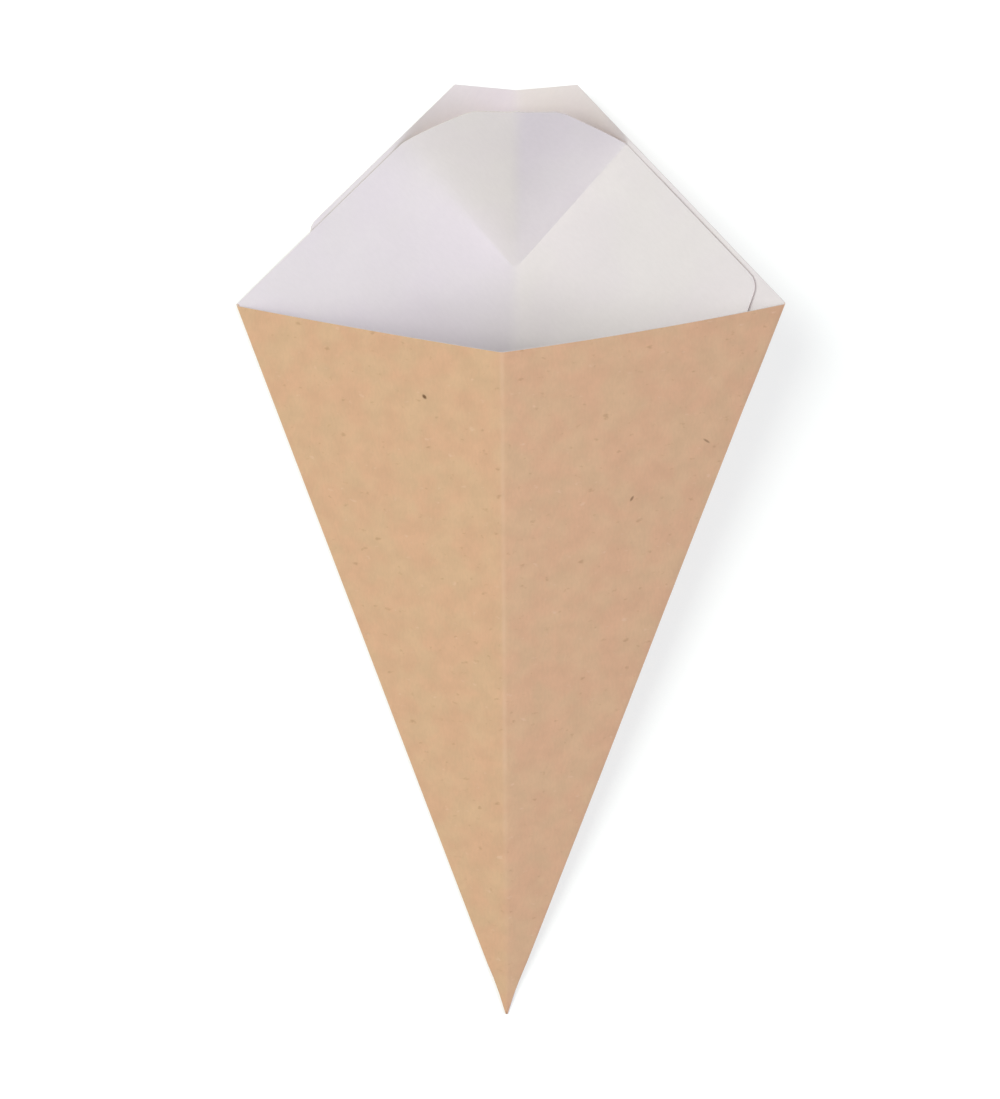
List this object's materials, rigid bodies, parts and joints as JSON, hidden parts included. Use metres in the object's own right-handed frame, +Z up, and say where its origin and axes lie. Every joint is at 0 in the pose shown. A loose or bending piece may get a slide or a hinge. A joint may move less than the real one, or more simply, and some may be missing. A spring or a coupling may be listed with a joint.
{
  "type": "paper fry cone",
  "caption": "Folded kraft board cone for serving fries, white inside, pointed at the foot, with a high back and a reverse-folded dip pocket behind the mouth.",
  "frame": {"origin": "middle of the footprint of the cone as it lies, on the surface that it lies on", "axes": "+Y along the cone from its tip towards its mouth, +Z up from the surface that it lies on, +X towards the raised side fold"},
  "size_m": [0.1392, 0.2592, 0.0583],
  "materials": {
    "kraft_board": "uncoated brown kraft outside, white inside, matt"
  },
  "bodies": {
    "root": {"fry_cone": "kraft_board"}
  },
  "joints": []
}
